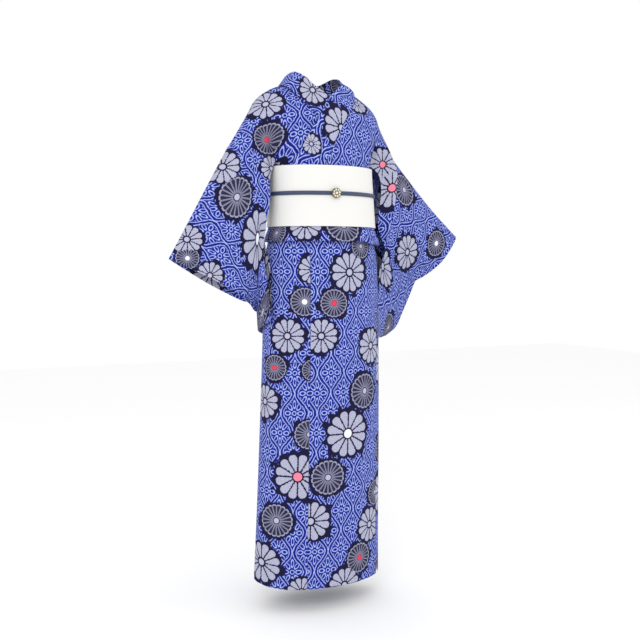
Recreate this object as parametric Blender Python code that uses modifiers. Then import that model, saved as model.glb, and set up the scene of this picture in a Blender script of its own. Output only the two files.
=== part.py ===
# Cotton yukata robe in its worn form, left front over right, with a waist fold and a half-width obi.
# Metres. The front faces -Y, the wearer's left is +X, and the origin is where neck and shoulders carry the robe.

import math

import bpy
import numpy as np

# Cloth
WALL = 0.0012
COLLAR_WALL = 0.0020
COLLAR_STAND = 0.0038
SEAM_GAP = 0.0009
LAYER = 0.0027

# Heights, measured up from the origin
HEM_Z = -1.296
FOLD_Z = -0.390
OBI_BOTTOM_Z = -0.352
OBI_TOP_Z = -0.197
TUCK_Z = -0.216
SKIRT_TOP_Z = -0.335
FOLD_TOP_Z = -0.262

# Obi, cord and brooch
OBI_WALL = 0.003
OBI_OUT = 0.0122
BOW_WALL = 0.0022
BOW_Z = -0.245
CORD_WIDTH = 0.0105
CORD_THICK = 0.0045
CORD_Z = -0.268
BROOCH_X = -0.0075
BROOCH_R = 0.0130
BROOCH_THICK = 0.0042
REST_GAP = 0.0003

# The wearer's figure under the cloth: centre, half width and half depth at each height
SKIRT_RINGS = {
    "z": (-1.296, -0.990, -0.660, -0.500, -0.430, -0.392, -0.352, -0.335),
    "cx": (0.002, 0.005, 0.008, 0.008, 0.008, 0.008, 0.008, 0.007),
    "a": (0.1720, 0.1655, 0.1590, 0.1565, 0.1530, 0.1450, 0.1340, 0.1330),
    "b": (0.1000, 0.1050, 0.1110, 0.1110, 0.1090, 0.1050, 0.0965, 0.0955),
}
SKIRT_ROWS = (HEM_Z, -1.180, -1.060, -0.940, -0.820, -0.700, -0.600, -0.510, -0.440, -0.395, -0.358, SKIRT_TOP_Z)
WAIST_RINGS = {
    "z": (-0.392, -0.352, -0.275, -0.197, -0.150),
    "cx": (0.008, 0.008, 0.006, 0.003, 0.001),
    "a": (0.1440, 0.1380, 0.1335, 0.1320, 0.1340),
    "b": (0.1060, 0.1010, 0.0965, 0.0945, 0.0960),
}
# Depth of the chest and of the back in front of and behind the shoulder line
CHEST = {
    "z": (-0.275, -0.197, -0.150, -0.110, -0.070, -0.030, 0.010),
    "cx": (0.006, 0.003, 0.001, 0.000, 0.000, 0.000, 0.000),
    "front": (0.0965, 0.0945, 0.0950, 0.0920, 0.0850, 0.0740, 0.0660),
    "back": (0.0965, 0.0960, 0.1020, 0.1060, 0.1040, 0.0980, 0.0950),
    "half": (0.1335, 0.1320, 0.1420, 0.1560, 0.1660, 0.1740, 0.1800),
    "cut": (1.00, 1.00, 0.90, 0.82, 0.80, 0.80, 0.80),
}
# The skirt's outer edge, as an arc from the front centre, and the finished width of its panels
SKIRT_EDGE = -0.246
SKIRT_CUT = {"okumi": 0.165, "front": 0.225, "back": 0.280}

# The shoulder line from the neck to the sleeve seam, seen from the front
SHOULDER = {
    "right": {"x": (0.106, 0.142, 0.182, 0.205, 0.254), "z": (0.012, -0.001, -0.032, -0.072, -0.150)},
    "left": {"x": (0.086, 0.125, 0.158, 0.191, 0.217), "z": (0.004, -0.013, -0.042, -0.105, -0.160)},
}
# Sleeve lines, x counted outwards from the middle of the body: the fold along the arm, the inner edge (furi),
# the wrist edge and the bottom seam. t or s runs from 0 to 1 along each line.
SLEEVE = {
    "right": {
        "fold": {"s": (0, 0.5, 1), "x": (0.254, 0.334, 0.413), "y": (0, 0, 0), "z": (-0.150, -0.294, -0.436)},
        "inner": {
            "t": (0, 0.20, 0.45, 0.75, 1),
            "x": (0.254, 0.216, 0.177, 0.162, 0.159),
            "y": (0, -0.002, -0.012, -0.036, -0.048),
            "z": (-0.150, -0.232, -0.345, -0.475, -0.592),
        },
        "wrist": {
            "t": (0, 0.24, 0.47, 0.62, 0.80, 1),
            "x": (0.413, 0.308, 0.206, 0.176, 0.126, 0.112),
            "y": (0, -0.004, -0.004, 0.022, 0.088, 0.100),
            "z": (-0.436, -0.492, -0.546, -0.570, -0.586, -0.642),
        },
        "bottom": {"s": (0, 0.5, 1), "x": (0.159, 0.163, 0.112), "y": (-0.048, 0.028, 0.100), "z": (-0.592, -0.622, -0.642)},
        "arm": 0.040,
        "bag": 0.024,
        "wrist_half": 0.026,
    },
    "left": {
        "fold": {"s": (0, 0.5, 1), "x": (0.217, 0.333, 0.452), "y": (0, 0.008, 0.020), "z": (-0.160, -0.272, -0.370)},
        "inner": {
            "t": (0, 0.20, 0.45, 0.75, 1),
            "x": (0.217, 0.206, 0.184, 0.179, 0.177),
            "y": (0, -0.003, 0.006, 0.003, -0.006),
            "z": (-0.160, -0.262, -0.405, -0.530, -0.632),
        },
        "wrist": {
            "t": (0, 0.24, 0.50, 0.62, 0.78, 0.90, 1),
            "x": (0.452, 0.408, 0.352, 0.343, 0.332, 0.318, 0.285),
            "y": (0.020, 0.045, 0.075, 0.095, 0.120, 0.135, 0.135),
            "z": (-0.370, -0.427, -0.492, -0.535, -0.590, -0.634, -0.658),
        },
        "bottom": {"s": (0, 0.5, 1), "x": (0.177, 0.226, 0.285), "y": (-0.006, 0.075, 0.135), "z": (-0.632, -0.658, -0.658)},
        "arm": 0.038,
        "bag": 0.024,
        "wrist_half": 0.026,
    },
}
SLEEVE_STATIONS = (0.0, 0.06, 0.16, 0.28, 0.40, 0.52, 0.64, 0.76, 0.88, 1.0)
SLEEVE_DEPTHS = (0.0, 0.025, 0.06, 0.11, 0.18, 0.27, 0.36, 0.449, 0.55, 0.66, 0.77, 0.88, 0.95, 0.985, 1.0)
# How many of those depths the armhole seam spans
ARMHOLE_ROWS = 8
# Collar from the nape to the front end: the seam on the body panel and the free edge at the neck.
# Where y is None the line lies on the chest.
COLLAR = {
    "left": (
        {"seam": (0.000, 0.0920, -0.014), "edge": (0.000, 0.1160, 0.040)},
        {"seam": (0.048, 0.0800, -0.010), "edge": (0.042, 0.0980, 0.043)},
        {"seam": (0.080, 0.0330, 0.006), "edge": (0.058, 0.0460, 0.050)},
        {"seam": (0.079, None, -0.004), "edge": (0.052, -0.0060, 0.032)},
        {"seam": (0.064, None, -0.038), "edge": (0.024, -0.0400, 0.004)},
        {"seam": (0.037, None, -0.070), "edge": (-0.008, None, -0.022)},
        {"seam": (0.009, None, -0.113), "edge": (-0.041, None, -0.069)},
        {"seam": (-0.016, None, -0.161), "edge": (-0.073, None, -0.120)},
        {"seam": (-0.040, None, -0.212), "edge": (-0.097, None, -0.172)},
        {"seam": (-0.056, None, -0.248), "edge": (-0.112, None, -0.209)},
    ),
    "right": (
        {"seam": (0.000, 0.0920, -0.014), "edge": (0.000, 0.1160, 0.040)},
        {"seam": (0.058, 0.0800, -0.008), "edge": (0.050, 0.0980, 0.041)},
        {"seam": (0.100, 0.0330, 0.014), "edge": (0.074, 0.0500, 0.044)},
        {"seam": (0.104, None, 0.002), "edge": (0.070, -0.0100, 0.046)},
        {"seam": (0.078, None, -0.034), "edge": (0.034, -0.0400, 0.012)},
        {"seam": (0.046, None, -0.068), "edge": (-0.004, None, -0.024)},
        {"seam": (0.014, None, -0.113), "edge": (-0.040, None, -0.069)},
        {"seam": (-0.012, None, -0.161), "edge": (-0.073, None, -0.120)},
        {"seam": (-0.036, None, -0.212), "edge": (-0.094, None, -0.174)},
        {"seam": (-0.052, None, -0.246), "edge": (-0.100, None, -0.210)},
    ),
}
# The lower edge of a body panel past the obi's side, from over the obi to the end of the armhole
SIDE_EDGE = {
    "right": {"x": (0.104, 0.134, 0.154, 0.158), "z": (-0.214, -0.190, -0.222, -0.290)},
    "left": {"x": (0.104, 0.138, 0.168, 0.172), "z": (-0.214, -0.186, -0.216, -0.350)},
}
SIDES = {"right": -1, "left": 1}


def start():
    for obj in list(bpy.data.objects):
        bpy.data.objects.remove(obj, do_unlink=True)
    group = bpy.data.collections.new("yukata_robe")
    bpy.context.scene.collection.children.link(group)
    helpers = bpy.data.collections.new("helpers")
    bpy.context.scene.collection.children.link(helpers)
    return group, helpers


def finish_material(name, colour, roughness, metallic=0.0):
    material = bpy.data.materials.new(name)
    material.use_nodes = True
    shader = material.node_tree.nodes["Principled BSDF"]
    shader.inputs["Base Color"].default_value = (*colour, 1.0)
    shader.inputs["Roughness"].default_value = roughness
    shader.inputs["Metallic"].default_value = metallic
    return material


def smooth_step(low, high, value):
    t = np.clip((value - low) / (high - low), 0.0, 1.0)
    return t * t * (3.0 - 2.0 * t)


def spline(knots, values, at):
    """Smooth curve through the knots: cubic pieces whose slopes are the means of their neighbours' slopes."""
    knots = np.asarray(knots, float)
    values = np.asarray(values, float)
    steps = np.diff(values) / np.diff(knots)
    slopes = np.concatenate([steps[:1], (steps[1:] + steps[:-1]) / 2, steps[-1:]])
    at = np.clip(np.asarray(at, float), knots[0], knots[-1])
    i = np.clip(np.searchsorted(knots, at, side="right") - 1, 0, len(knots) - 2)
    width = knots[i + 1] - knots[i]
    t = (at - knots[i]) / width
    start_part = (1 + 2 * t) * (1 - t) ** 2 * values[i] + t * (1 - t) ** 2 * width * slopes[i]
    end_part = t * t * (3 - 2 * t) * values[i + 1] - t * t * (1 - t) * width * slopes[i + 1]
    return start_part + end_part


def table_line(table, key, at):
    return np.stack([spline(table[key], table[axis], at) for axis in "xyz"], axis=-1)


def ring_value(rings, column, z):
    order = np.argsort(rings["z"])
    return spline(np.array(rings["z"])[order], np.array(rings[column])[order], z)


def normals_of(grid):
    normal = np.cross(np.gradient(grid, axis=0), np.gradient(grid, axis=1))
    return normal / np.linalg.norm(normal, axis=-1, keepdims=True)


def sheet_object(name, grid, wall, material, group, closed=False, even=True):
    """A wall about a grid of points. closed joins the last column to the first; even is for sheets without
    sharp folds, where it keeps the thickness the same all over."""
    rows, columns = grid.shape[:2]
    index = np.arange(rows * columns).reshape(rows, columns)
    if closed:
        index = np.concatenate([index, index[:, :1]], axis=1)
    faces = np.stack([index[:-1, :-1], index[1:, :-1], index[1:, 1:], index[:-1, 1:]], axis=-1).reshape(-1, 4)
    mesh = bpy.data.meshes.new(name)
    mesh.from_pydata(grid.reshape(-1, 3).tolist(), [], faces.tolist())
    mesh.materials.append(material)
    mesh.shade_smooth()
    obj = bpy.data.objects.new(name, mesh)
    group.objects.link(obj)
    solidify = obj.modifiers.new("wall", "SOLIDIFY")
    solidify.thickness = wall
    solidify.offset = 0.0
    solidify.use_even_offset = even
    solidify.use_quality_normals = True
    return obj


# Rings round the figure

def ellipse_arc(a, b, arc):
    """Angle from the front centre at which the arc along an ellipse, positive to the wearer's left, is arc."""
    angle = np.linspace(-4 * math.pi, 4 * math.pi, 1441)
    step = np.hypot(a * np.cos(angle), b * np.sin(angle))
    length = np.concatenate([[0.0], np.cumsum((step[1:] + step[:-1]) / 2 * np.diff(angle))])
    length -= np.interp(0.0, angle, length)
    return np.interp(arc, length, angle)


def ring_point(rings, angle, z, out):
    """A point on the ring at height z, moved out along the ellipse's normal."""
    a = ring_value(rings, "a", z)
    b = ring_value(rings, "b", z)
    normal_x = np.sin(angle) / a
    normal_y = -np.cos(angle) / b
    scale = out / np.hypot(normal_x, normal_y)
    x = ring_value(rings, "cx", z) + a * np.sin(angle) + normal_x * scale
    y = -b * np.cos(angle) + normal_y * scale
    return np.stack(np.broadcast_arrays(x, y, z), axis=-1)


def skirt_grid(arc_from, arc_to, columns):
    """The skirt is one spiral of cloth: it climbs outwards by 2 LAYER a turn, so that overlaps lie clear."""
    z = np.array(SKIRT_ROWS)[:, None]
    arc = np.linspace(arc_from, arc_to, columns)[None, :]
    sizes = zip(ring_value(SKIRT_RINGS, "a", z[:, 0]), ring_value(SKIRT_RINGS, "b", z[:, 0]))
    angle = np.array([ellipse_arc(a, b, arc[0]) for a, b in sizes])
    total = 2 * sum(SKIRT_CUT.values())
    out = -2 * LAYER * (arc - SKIRT_EDGE) / (total * 0.66) + LAYER * 1.5
    low = np.clip((SKIRT_TOP_Z - z) / (SKIRT_TOP_Z - HEM_Z), 0, 1)
    flare = 0.011 * low ** 1.5 * (1 - smooth_step(0.0, 0.09, arc - SKIRT_EDGE))
    grid = ring_point(SKIRT_RINGS, angle, z, out + flare)
    lift = 0.010 * (1 - smooth_step(0.0, 0.12, arc - SKIRT_EDGE)) * smooth_step(-1.1, HEM_Z, z)
    grid[..., 2] += lift
    return grid


def build_skirt(group, cotton):
    seam = SEAM_GAP / 2
    stations = [SKIRT_EDGE]
    for piece in ("okumi", "front", "back", "back", "front", "okumi"):
        stations.append(stations[-1] + SKIRT_CUT[piece])
    names = ("okumi_left", "skirt_front_left", "skirt_back_left", "skirt_back_right", "skirt_front_right", "okumi_right")
    columns = (8, 11, 13, 13, 9, 6)
    for k, name in enumerate(names):
        first = stations[k] + (seam if k else 0.0)
        last = stations[k + 1] - (seam if k < 5 else 0.0)
        sheet_object(name, skirt_grid(first, last, columns[k])[:, ::-1], WALL, cotton, group)


def build_waist_fold(group, cotton):
    """The spare length: down outside, round a soft fold below the obi, and up again inside."""
    angle = np.linspace(-math.pi, math.pi, 41)[:-1]
    drop = 0.007 * smooth_step(0.45, 0.75, angle) * (1 - smooth_step(1.9, 2.5, angle))
    profile = (
        {"z": FOLD_TOP_Z, "out": 0.0093, "drop": 0.0},
        {"z": -0.310, "out": 0.0093, "drop": 0.0},
        {"z": OBI_BOTTOM_Z, "out": 0.0093, "drop": 0.0},
        {"z": -0.372, "out": 0.0135, "drop": 0.6},
        {"z": FOLD_Z + 0.003, "out": 0.0150, "drop": 1.0},
        {"z": FOLD_Z, "out": 0.0130, "drop": 1.0},
        {"z": FOLD_Z + 0.003, "out": 0.0110, "drop": 1.0},
        {"z": -0.372, "out": 0.0098, "drop": 0.6},
        {"z": OBI_BOTTOM_Z, "out": 0.0036, "drop": 0.0},
        {"z": -0.338, "out": 0.0032, "drop": 0.0},
    )
    rows = []
    for row in profile:
        out = row["out"] + 0.5 * drop * row["drop"]
        points = ring_point(WAIST_RINGS, angle, np.full_like(angle, row["z"]), out)
        points[:, 2] -= drop * row["drop"]
        rows.append(points)
    sheet_object("waist_fold", np.array(rows), WALL, cotton, group, closed=True)


# The upper body

def chest_depth(x, z, face):
    """How far the cloth stands in front of the shoulder line (face "front") or behind it (face "back")."""
    deep = ring_value(CHEST, face, z)
    half = ring_value(CHEST, "half", z)
    share = np.abs(x - ring_value(CHEST, "cx", z)) / half
    body = deep * np.sqrt(np.clip(1 - ring_value(CHEST, "cut", z) * share**2, 0, 1))
    arm = 0.034 * smooth_step(0.10, 0.16, np.abs(x)) + 0.012 * smooth_step(0.17, 0.21, np.abs(x))
    return (body**6 + arm**6) ** (1 / 6)


def shoulder_height(side, x, face):
    """The shoulder line, continued up into the neck: gently in front, and behind as the root of the way in."""
    table = SHOULDER[side]
    x = np.abs(x)
    inward = np.clip(table["x"][0] - x, 0, None)
    neck = 0.35 * inward if face == "front" else 0.14 * np.sqrt(inward)
    return spline(table["x"], table["z"], x) + neck


def rise(height, reach):
    share = np.clip(height / reach, 0, 1)
    return np.sqrt(1 - (1 - share) ** 2)


def surface_y(side, x, z, face):
    """The cloth's depth at a place seen from the front: steep under the shoulder line, then full."""
    below = np.clip(shoulder_height(side, x, face) - z, 0, None)
    depth = chest_depth(x, z, face) * rise(below, 0.10)
    return -depth if face == "front" else depth


def level_shift(side, x, z, level):
    """The step forwards that lifts cloth off the front by level, which grows where the front is steep."""
    step = 0.004
    across = surface_y(side, x + step, z, "front") - surface_y(side, x - step, z, "front")
    upright = surface_y(side, x, z + step, "front") - surface_y(side, x, z - step, "front")
    slope = np.hypot(across, upright) / (2 * step)
    return level * np.sqrt(1 + np.clip(slope, 0, 2.4) ** 2)


def sleeve_mid(side, s, t):
    """Middle surface of a sleeve: a patch between its fold, inner edge, wrist edge and bottom seam."""
    lines = SLEEVE[side]
    s = np.asarray(s)[..., None]
    t = np.asarray(t)[..., None]
    fold = table_line(lines["fold"], "s", s[..., 0])
    bottom = table_line(lines["bottom"], "s", s[..., 0])
    inner = table_line(lines["inner"], "t", t[..., 0])
    wrist = table_line(lines["wrist"], "t", t[..., 0])
    corners = [table_line(lines["inner"], "t", 0.0), table_line(lines["inner"], "t", 1.0)]
    corners += [table_line(lines["wrist"], "t", 0.0), table_line(lines["wrist"], "t", 1.0)]
    ruled = (1 - t) * fold + t * bottom + (1 - s) * inner + s * wrist
    return ruled - (
        (1 - s) * (1 - t) * corners[0] + (1 - s) * t * corners[1] + s * (1 - t) * corners[2] + s * t * corners[3]
    )


def sleeve_half(side, s, t):
    """Half the room between a sleeve's two layers: round over the arm, closed at the bottom and under the cuff."""
    lines = SLEEVE[side]
    cuff = lines["wrist"]["t"][2]
    lens = np.clip(np.sin(math.pi * t), 0, 1) ** 0.6 * (1 - 0.75 * smooth_step(0.55, 0.92, t))
    wrist_lens = np.clip(np.sin(math.pi * np.clip(t / cuff, 0, 1)), 0, 1) ** 0.6
    over_arm = lines["arm"] * rise(t, 0.12) * (1 - smooth_step(0.30, 0.72, t))
    bag = lines["bag"] * lens * (0.35 + 0.65 * smooth_step(0.0, 0.25, s)) * smooth_step(0.0, 0.55, t)
    full = np.maximum(over_arm, bag)
    closing = smooth_step(0.35, 1.0, s)
    return 0.0016 + (1 - closing) * full + closing * lines["wrist_half"] * wrist_lens


def sleeve_grid(side, stations, depths):
    """Rows along the arm; each row runs down the front layer and up the back layer."""
    sign = SIDES[side]
    s, t = np.meshgrid(stations, depths, indexing="ij")
    mid = sleeve_mid(side, s, t)
    step = 1e-3
    along = sleeve_mid(side, s + step, t) - sleeve_mid(side, s - step, t)
    down = sleeve_mid(side, s, t + step) - sleeve_mid(side, s, t - step)
    normal = np.cross(along, down)
    normal /= -np.linalg.norm(normal, axis=-1, keepdims=True)
    half = sleeve_half(side, s, t)[..., None]
    front = mid + normal * half
    back = mid - normal * half
    grid = np.concatenate([front, back[:, ::-1]], axis=1)
    grid[..., 0] *= sign
    return grid


def armhole_line(side, face):
    """The sleeve's inner edge down to the armhole's end, on its front or back layer."""
    grid = sleeve_grid(side, (0.0, 0.002), SLEEVE_DEPTHS)
    count = len(SLEEVE_DEPTHS)
    row = grid[0, :count] if face == "front" else grid[0, count:][::-1]
    return row[:ARMHOLE_ROWS]


def resample(points, count):
    length = np.concatenate([[0.0], np.cumsum(np.linalg.norm(np.diff(points, axis=0), axis=1))])
    at = np.linspace(0, length[-1], count)
    return np.stack([spline(length, points[:, axis], at) for axis in range(3)], axis=-1)


def patch(top, bottom, inner, outer, u, v):
    """Points between four lines whose ends meet, in the plane seen from the front."""
    u = u[None, :, None]
    v = v[:, None, None]
    ruled = (1 - v) * top[None] + v * bottom[None] + (1 - u) * inner[:, None] + u * outer[:, None]
    return ruled - (
        (1 - u) * (1 - v) * top[0] + u * (1 - v) * top[-1] + (1 - u) * v * bottom[0] + u * v * bottom[-1]
    )


def collar_rows(side, key):
    rows = COLLAR[side]
    sign = SIDES[side]
    points = []
    for row in rows:
        x, y, z = row[key]
        if y is None:
            y = float(surface_y(side, np.array(x), np.array(z), "front"))
        points.append((sign * x, y, z))
    return np.array(points)


def body_half(side, face, columns, rows):
    """One face of a body panel: its top is the shoulder line, its bottom lies under the obi and, past the
    obi's side, hangs free to the end of the armhole."""
    sign = SIDES[side]
    u = np.linspace(0, 1, columns)
    v = np.linspace(0, 1, rows)
    shoulder = SHOULDER[side]
    reach = np.array(shoulder["x"])
    top = resample(np.stack([sign * reach, 0 * reach, np.array(shoulder["z"])], axis=-1), columns)
    outer = resample(armhole_line(side, face), rows)
    seam = collar_rows(side, "seam")
    neck_side = np.array([[sign * reach[0], 0.0, shoulder["z"][0]]])
    if face == "front":
        inner = resample(np.concatenate([neck_side, seam[4:9]]), rows)
    else:
        low_z = np.array([-0.08, -0.15, TUCK_Z])
        middle = np.stack([0 * low_z, surface_y(side, 0 * low_z, low_z, face), low_z], axis=-1)
        inner = resample(np.concatenate([neck_side, seam[2::-1], middle]), rows)
        inner[:, 0] = sign * np.maximum(sign * inner[:, 0], SEAM_GAP / 2)
    edge = SIDE_EDGE[side]
    low = np.array([[inner[-1, 0], 0.0, inner[-1, 2]], [sign * 0.060, 0.0, TUCK_Z]])
    past = np.stack([sign * np.array(edge["x"]), np.zeros(4), np.array(edge["z"])], axis=-1)
    bottom = resample(np.concatenate([low, past, outer[-1:] * (1, 0, 1)]), columns)
    grid = patch(top, bottom, inner * (1, 0, 1), outer * (1, 0, 1), u, v)
    grid[..., 1] = surface_y(side, grid[..., 0], grid[..., 2], face)
    if face == "back":
        # The inner edge takes the collar seam's own depth
        grid[..., 1] += (inner[:, 1] - grid[:, 0, 1])[:, None] * (1 - smooth_step(0.0, 0.40, u))
    # The outer edge takes the sleeve's own depth
    grid[..., 1] += (outer[:, 1] - grid[:, -1, 1])[:, None] * smooth_step(0.45, 1.0, u)
    back_off = grid[:, -2] - grid[:, -1]
    grid[:, -1] += back_off / np.linalg.norm(back_off, axis=-1, keepdims=True) * 2.5 * SEAM_GAP
    return grid


def build_body(group, cotton):
    for side, sign in SIDES.items():
        columns = 15
        front = body_half(side, "front", columns, 13)
        back = body_half(side, "back", columns, 13)
        if side == "left":
            over = level_shift(side, front[..., 0], front[..., 2], 2 * LAYER)
            over *= 1 - smooth_step(0.130, 0.170, front[..., 0])
            over *= smooth_step(0.0, 0.25, np.linspace(0, 1, 13))[:, None]
            front[..., 1] -= over
        grid = np.concatenate([front[::-1], back[1:]], axis=0)
        if sign > 0:
            grid = grid[:, ::-1]
        sheet_object(f"body_{side}", grid, WALL, cotton, group, even=False)


def build_sleeves(group, cotton):
    for side, sign in SIDES.items():
        grid = sleeve_grid(side, SLEEVE_STATIONS, SLEEVE_DEPTHS)
        if sign > 0:
            grid = grid[:, ::-1]
        sheet_object(f"sleeve_{side}", grid, WALL, cotton, group, closed=True, even=False)


def collar_half(side, count, across):
    """Half the collar band, from the nape to its front end, level by level clear of what lies under it."""
    rows = COLLAR[side]
    knots = np.arange(len(rows))
    at = np.linspace(0, len(rows) - 1, count)
    seam = collar_rows(side, "seam")
    edge = collar_rows(side, "edge")
    seam = np.stack([spline(knots, seam[:, axis], at) for axis in range(3)], axis=-1)
    edge = np.stack([spline(knots, edge[:, axis], at) for axis in range(3)], axis=-1)
    w = np.linspace(0, 1, across)
    band = seam[:, None] * (1 - w)[None, :, None] + edge[:, None] * w[None, :, None]
    on_chest = smooth_step(1.8, 2.9, at)[:, None]
    chest = surface_y(side, band[..., 0], band[..., 2], "front")
    flat = smooth_step(4.0, 5.2, at)[:, None]
    band[..., 1] = band[..., 1] * (1 - flat) + chest * flat
    level = 3 * LAYER if side == "left" else LAYER
    band[..., 1] -= level_shift(side, band[..., 0], band[..., 2], level) * on_chest
    return band


def build_collar(group, cotton):
    left = collar_half("left", 26, 4)
    right = collar_half("right", 26, 4)
    band = np.concatenate([right[::-1], left[1:]], axis=0)
    normal = normals_of(band)
    outward = np.zeros_like(normal)
    outward[..., 0] = band[..., 0]
    outward[..., 1] = band[..., 1] * 1.2
    outward[..., 2] = 0.05
    flip = np.where(np.sum(normal * outward, axis=-1, keepdims=True) < 0, -1, 1)
    stand = 1 - smooth_step(3.2, 4.6, np.abs(np.linspace(-9, 9, len(band))))
    band = band + normal * flip * (COLLAR_STAND * stand)[:, None, None]
    sheet_object("collar", band, COLLAR_WALL, cotton, group)


# The obi and what ties it

def build_obi(group, cloth):
    angle = np.linspace(-math.pi, math.pi, 57)[:-1]
    z = np.linspace(OBI_BOTTOM_Z, OBI_TOP_Z, 5)
    rows = [ring_point(WAIST_RINGS, angle, np.full_like(angle, height), OBI_OUT) for height in z]
    sheet_object("obi_band", np.array(rows), OBI_WALL, cloth, group, closed=True)


def build_bow(group, cloth):
    """Two folded loops pinched at the middle of the back, and the wrap that holds them."""
    path = {
        "q": np.linspace(0, 1, 9),
        "x": (0.004, 0.030, 0.075, 0.111, 0.120, 0.113, 0.075, 0.030, 0.004),
        "y": (0.1201, 0.1196, 0.1181, 0.1186, 0.1271, 0.1361, 0.1416, 0.1351, 0.1311),
    }
    at = np.linspace(0, 1, 25)
    x = spline(path["q"], path["x"], at)
    y = spline(path["q"], path["y"], at)
    half = 0.026 + 0.048 * smooth_step(0.020, 0.112, x)
    v = np.linspace(-1, 1, 7)[:, None]
    for side, sign in SIDES.items():
        z = BOW_Z + v * half - 0.020 * (x / 0.12) ** 2
        pleat = 0.0015 * np.sin(v * math.pi * 2.5) * smooth_step(0.03, 0.06, x)
        grid = np.stack(np.broadcast_arrays(sign * x, y + pleat, z), axis=-1)
        sheet_object(f"obi_loop_{side}", grid if sign > 0 else grid[:, ::-1], BOW_WALL, cloth, group)
    turn = np.linspace(0, 2 * math.pi, 29)[:-1]
    corner = 1 / (np.abs(np.cos(turn)) ** 4 + np.abs(np.sin(turn)) ** 4) ** 0.25
    rows = []
    for x in (-0.022, -0.011, 0.0, 0.011, 0.022):
        wrap_y = 0.1268 + 0.0115 * np.cos(turn) * corner
        wrap_z = BOW_Z + 0.0330 * np.sin(turn) * corner
        rows.append(np.stack([np.full_like(turn, x), wrap_y, wrap_z], axis=-1))
    sheet_object("obi_wrap", np.array(rows), BOW_WALL, cloth, group, closed=True)


def curve_object(name, points, group, depth=0.0, profile=None):
    """A closed curve through points. profile gives it a solid section."""
    curve = bpy.data.curves.new(name, "CURVE")
    curve.dimensions = "2D"
    curve.fill_mode = "NONE"
    spline_line = curve.splines.new("POLY")
    spline_line.points.add(len(points) - 1)
    for point, (x, y) in zip(spline_line.points, points):
        point.co = (x, y, 0.0, 1.0)
    spline_line.use_cyclic_u = True
    if profile:
        curve.bevel_mode = "OBJECT"
        curve.bevel_object = profile
    obj = bpy.data.objects.new(name, curve)
    obj.location.z = depth
    group.objects.link(obj)
    return obj


def build_cord(group, helpers, silk):
    turn = np.linspace(2 * math.pi, 0, 11)[:-1]
    section = np.stack([CORD_THICK / 2 * np.cos(turn), CORD_WIDTH / 2 * np.sin(turn)], axis=-1)
    profile = curve_object("cord_section", section, helpers)
    profile.hide_render = True
    profile.hide_viewport = True
    angle = np.linspace(-math.pi, math.pi, 73)[:-1]
    out = OBI_OUT + OBI_WALL / 2 + REST_GAP + CORD_THICK / 2
    ring = ring_point(WAIST_RINGS, angle, np.full_like(angle, CORD_Z), out)
    cord = curve_object("cord", ring[:, :2], group, CORD_Z, profile)
    cord.data.materials.append(silk)


def build_brooch(group, gold):
    front = -(ring_value(WAIST_RINGS, "b", CORD_Z) + OBI_OUT + OBI_WALL / 2 + CORD_THICK + 2 * REST_GAP)
    bpy.ops.mesh.primitive_cylinder_add(
        vertices=32,
        radius=BROOCH_R,
        depth=BROOCH_THICK,
        location=(BROOCH_X, float(front) - BROOCH_THICK / 2, CORD_Z),
        rotation=(math.pi / 2, 0, 0),
    )
    obj = bpy.context.object
    obj.name = "brooch"
    obj.data.materials.append(gold)
    bevel = obj.modifiers.new("rounded", "BEVEL")
    bevel.width = 0.0014
    bevel.segments = 2
    bevel.limit_method = "ANGLE"
    for other in list(obj.users_collection):
        other.objects.unlink(obj)
    group.objects.link(obj)


def main():
    group, helpers = start()
    cotton = finish_material("yukata_cotton", (0.055, 0.085, 0.52), 0.85)
    obi_cloth = finish_material("obi_cloth", (0.86, 0.85, 0.80), 0.70)
    build_body(group, cotton)
    build_sleeves(group, cotton)
    build_collar(group, cotton)
    build_skirt(group, cotton)
    build_waist_fold(group, cotton)
    build_obi(group, obi_cloth)
    build_bow(group, obi_cloth)
    build_cord(group, helpers, finish_material("cord_silk", (0.035, 0.055, 0.13), 0.60))
    build_brooch(group, finish_material("brooch_gold", (0.55, 0.42, 0.20), 0.35, metallic=1.0))


main()
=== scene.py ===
import math

import bpy
import numpy as np
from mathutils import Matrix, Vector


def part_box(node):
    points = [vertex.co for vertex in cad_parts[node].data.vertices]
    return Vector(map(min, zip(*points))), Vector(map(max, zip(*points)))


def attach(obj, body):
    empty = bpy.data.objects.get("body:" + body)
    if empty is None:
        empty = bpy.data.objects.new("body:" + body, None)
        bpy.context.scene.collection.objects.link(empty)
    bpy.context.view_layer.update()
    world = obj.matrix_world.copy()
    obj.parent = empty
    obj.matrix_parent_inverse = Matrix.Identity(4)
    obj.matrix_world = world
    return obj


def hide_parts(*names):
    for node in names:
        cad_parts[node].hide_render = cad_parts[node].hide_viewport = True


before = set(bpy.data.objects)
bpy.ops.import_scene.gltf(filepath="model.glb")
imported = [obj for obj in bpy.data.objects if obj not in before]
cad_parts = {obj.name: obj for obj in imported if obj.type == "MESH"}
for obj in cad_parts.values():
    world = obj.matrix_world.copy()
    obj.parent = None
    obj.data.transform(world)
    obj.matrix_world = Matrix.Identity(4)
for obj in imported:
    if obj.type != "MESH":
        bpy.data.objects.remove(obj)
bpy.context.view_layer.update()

# Cotton yukata robe in its worn form. Metres; the front faces -Y and the wearer's left is +X.
# Each surface is a function of two parameters, worked out as whole arrays on a fine grid.

layer = 0.0027
seamGap = 0.0009
heights = {
    "hem": -1.296, "obiBottom": -0.352, "obiTop": -0.197, "tuck": -0.216,
    "skirtTop": -0.335, "cord": -0.268, "bow": -0.245,
}
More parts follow.
